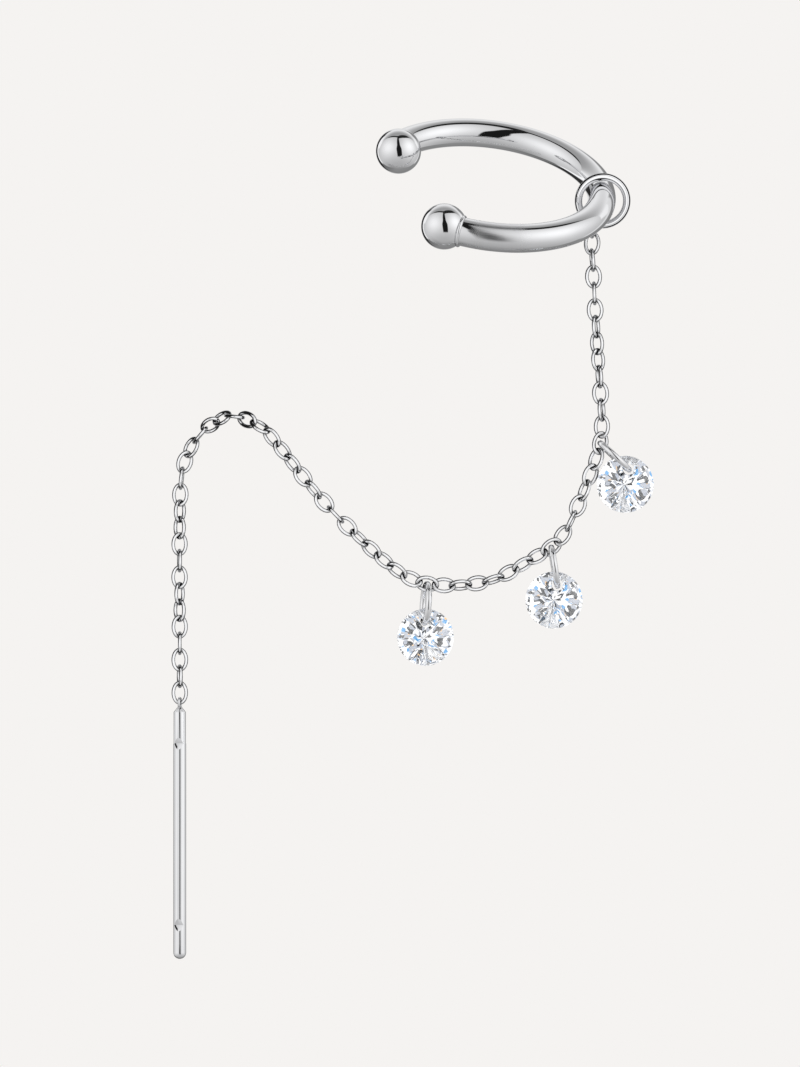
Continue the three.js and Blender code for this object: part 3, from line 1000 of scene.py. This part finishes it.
def make_studio():
    world = bpy.data.worlds.new("studio")
    bpy.context.scene.world = world
    world.use_nodes = True
    tree = world.node_tree
    tree.nodes.clear()
    ray = look_around(tree)
    past_line, under_line = lights_end(tree, ray)
    level = shell(tree, ray)
    level = add_lights(tree, ray, level, under_line)
    level = add_side_bands(tree, ray, level)
    level = add_gap(tree, ray, level, under_line)
    level = add_strip(tree, ray, level, past_line)

    room = background(tree, level)
    crisp = background(tree, smooth_surroundings(tree, ray))
    gathered = background(tree, stone_surroundings(tree, ray), SPARKLE_STRENGTH)
    kind = tree.nodes.new("ShaderNodeLightPath").outputs
    seen = blend_shaders(tree, kind["Is Singular Ray"], room, crisp)
    seen = blend_shaders(tree, kind["Is Transmission Ray"], seen, gathered)
    seen = blend_shaders(tree, kind["Is Camera Ray"], seen, background(tree, BACKDROP))
    output = tree.nodes.new("ShaderNodeOutputWorld")
    tree.links.new(seen, output.inputs[0])


def make_floor():
    """Round pale floor that fades into the backdrop at its rim."""
    bm = bmesh.new()
    bmesh.ops.create_circle(bm, cap_ends=True, segments=FLOOR_SIDES, radius=FLOOR_RADIUS * MM)
    floor = to_object(bm, "floor")
    floor.location.z = -FLOOR_DEPTH * MM
    material, tree, output = new_material("pale_floor")
    coords = tree.nodes.new("ShaderNodeTexCoord").outputs["Object"]
    distance = add_node(tree, "ShaderNodeVectorMath", {0: coords}, operation="LENGTH")
    fade = smooth_step(tree, distance.outputs["Value"], FLOOR_FADE * MM, FLOOR_RADIUS * MM)
    matte = add_node(tree, "ShaderNodeBsdfDiffuse", {"Color": FLOOR_COLOUR})
    nothing = tree.nodes.new("ShaderNodeBsdfTransparent")
    seen = blend_shaders(tree, fade, matte.outputs[0], nothing.outputs[0])
    tree.links.new(seen, output.inputs[0])
    floor.data.materials.append(material)
    floor.visible_glossy = False
    floor.visible_transmission = False


make_camera()
make_studio()
make_floor()
bpy.context.scene.view_settings.view_transform = "Standard"

# Light is turned back many times inside a cut stone before it comes out
light_paths = bpy.context.scene.cycles
light_paths.max_bounces = STONE_BOUNCES
light_paths.transmission_bounces = STONE_BOUNCES
light_paths.glossy_bounces = STONE_BOUNCES

mirror_steel = steel("mirror_steel", PLAIN_GREYS, rough=0.02, smudge=0.04, grain=0.1, wave=0.02, edge=0.7)
hoop_steel = steel(
    "hoop_steel", PLAIN_GREYS, rough=0.02, smudge=0.04, grain=0.1, wave=0.02, edge=0.7, satin=0.26)
drawn_steel = steel("drawn_steel", PLAIN_GREYS, rough=0.02, smudge=0.03, grain=0.12, wave=0.02, edge=0.35)
ring_steel = steel("ring_steel", BRIGHT_GREYS, rough=0, smudge=0, grain=0.1, wave=0.02, edge=0.3)
# The chain's steel gets painted shade where its links touch one another
tumbled_steel = steel(
    "tumbled_steel", BRIGHT_GREYS, rough=0, smudge=0, grain=0.2, wave=0.04, edge=0.2, painted_shade_reach=0.3)
stone_look = clear_stone()

make_cuff(hoop_steel)
make_cuff_ring(ring_steel)
links = lay_links()
make_chain(links, tumbled_steel)
for number, hanger in enumerate(HANGERS, 1):
    make_hanger(links[hanger["link"]], hanger, number, mirror_steel, stone_look)
make_bar(links[-1], drawn_steel)
